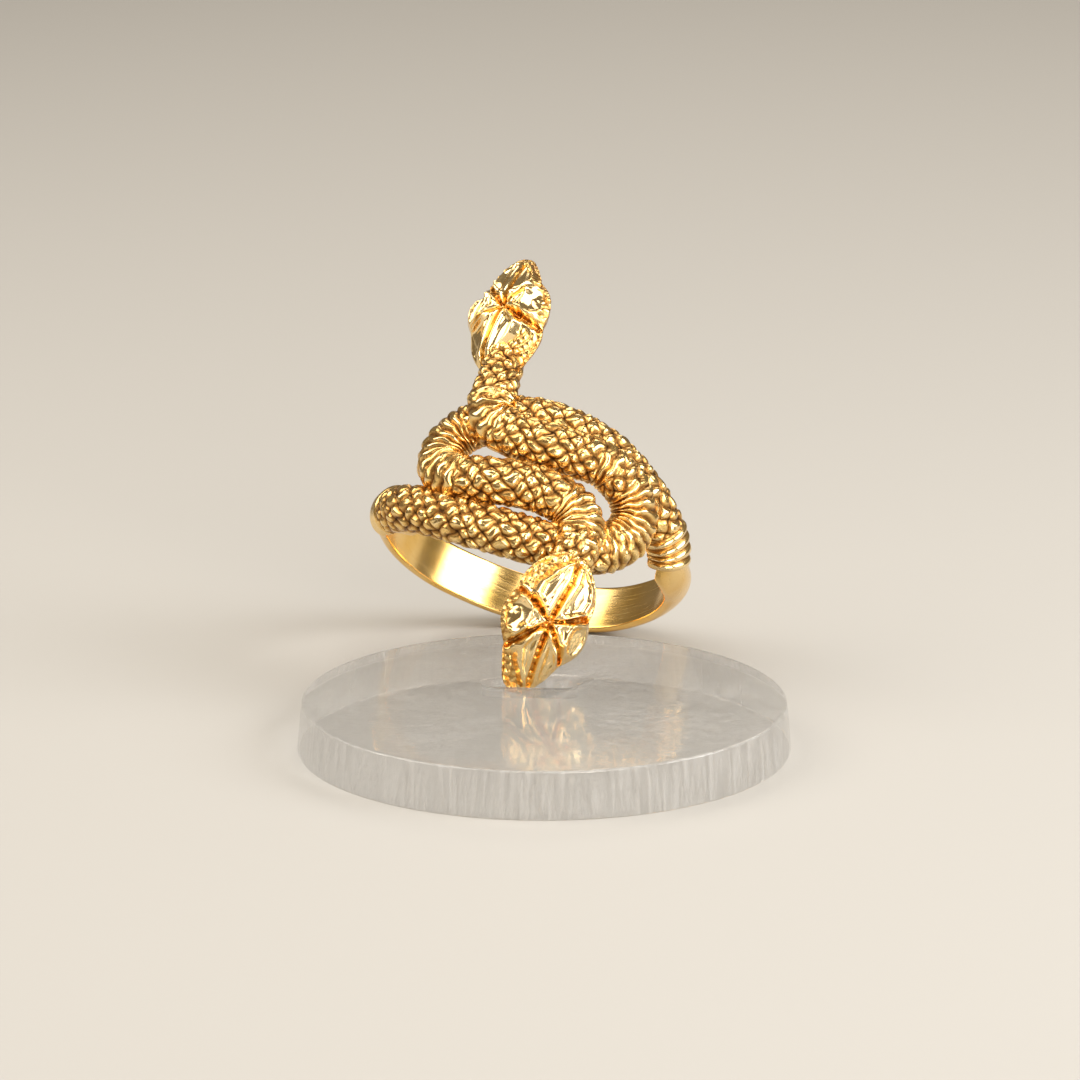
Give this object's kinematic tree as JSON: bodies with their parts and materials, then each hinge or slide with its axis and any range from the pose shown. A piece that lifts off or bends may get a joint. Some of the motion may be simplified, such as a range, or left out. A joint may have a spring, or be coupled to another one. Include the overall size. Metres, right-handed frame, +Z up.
{
  "type": "snake wrap ring on a clear disc stand",
  "caption": "Cast gold ring of two entwined scaly snakes with outward heads on a plain domed band, held by one snout in a slot in a clear round disc.",
  "frame": {"origin": "centre of the disc's underside", "axes": "+Z up, the snakes' faces look towards -Y, +X to their right in the picture"},
  "size_m": [0.0305, 0.0442, 0.0252],
  "materials": {
    "gold": "polished",
    "clear_acrylic": "polished"
  },
  "bodies": {
    "root": {"snake_ring": "gold", "disc_stand": "clear_acrylic"}
  },
  "joints": []
}
